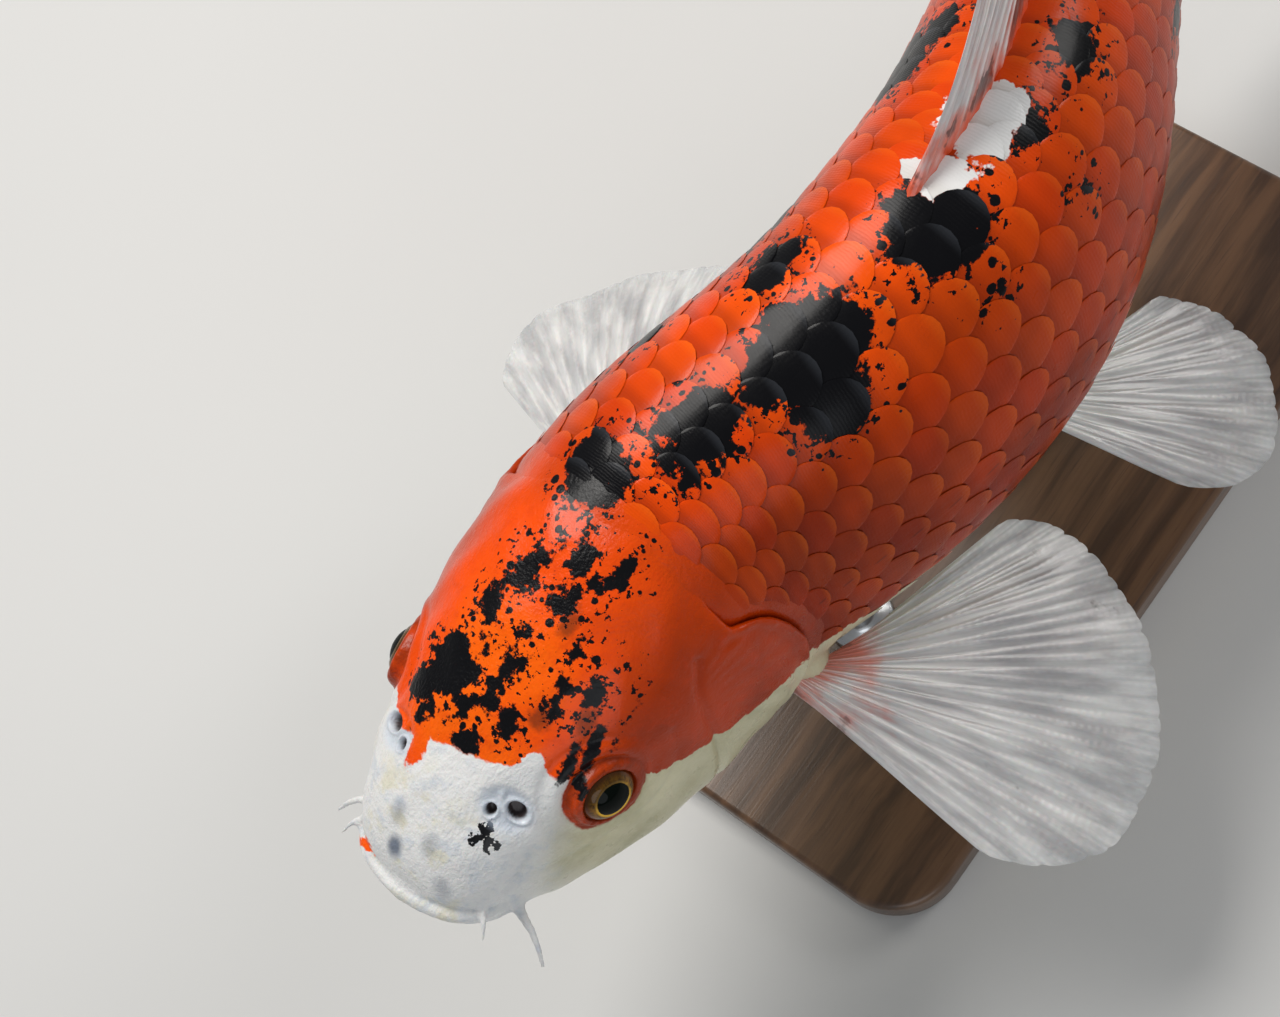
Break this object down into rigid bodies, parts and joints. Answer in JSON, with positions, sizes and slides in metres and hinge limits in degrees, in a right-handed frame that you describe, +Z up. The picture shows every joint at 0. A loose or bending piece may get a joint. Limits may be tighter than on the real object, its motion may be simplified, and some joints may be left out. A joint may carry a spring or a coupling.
{
  "type": "koi carp model",
  "caption": "Life-size koi carp in orange, black and white, swimming in a gentle S-bend with spread fins, held by short rods on a plain flat base.",
  "frame": {"origin": "middle of the footprint of the whole model, on the floor", "axes": "+Z up; the fish faces -Y and its left side is towards +X; +Y runs to the tail"},
  "size_m": [0.2366, 0.5368, 0.2531],
  "materials": {
    "skin_orange": "wet scaled skin, vivid orange with ragged black patches",
    "skin_white": "wet smooth skin, creamy white with small dark spots",
    "fin": "thin white fin with branching rays, orange near the root",
    "feeler": "smooth creamy feeler",
    "eye": "dark pupil in a gold iris under a clear cornea",
    "stand_wood": "dark stained wood, satin varnish",
    "stand_steel": "brushed steel rod"
  },
  "bodies": {
    "root": {"head": "skin_orange", "lower_jaw": "skin_white", "trunk": "skin_orange", "tail_stalk": "skin_orange", "gill_cover_left": "skin_orange", "gill_cover_right": "skin_orange", "eye_left": "eye", "eye_right": "eye", "feeler_corner_left": "feeler", "feeler_corner_right": "feeler", "feeler_lip_left": "feeler", "feeler_lip_right": "feeler", "pectoral_fin_left": "fin", "pectoral_fin_right": "fin", "pelvic_fin_left": "fin", "pelvic_fin_right": "fin", "dorsal_fin": "fin", "anal_fin": "fin", "caudal_fin_upper": "fin", "caudal_fin_lower": "fin", "stand_base": "stand_wood", "stand_rod_front": "stand_steel", "stand_rod_rear": "stand_steel"}
  },
  "joints": []
}
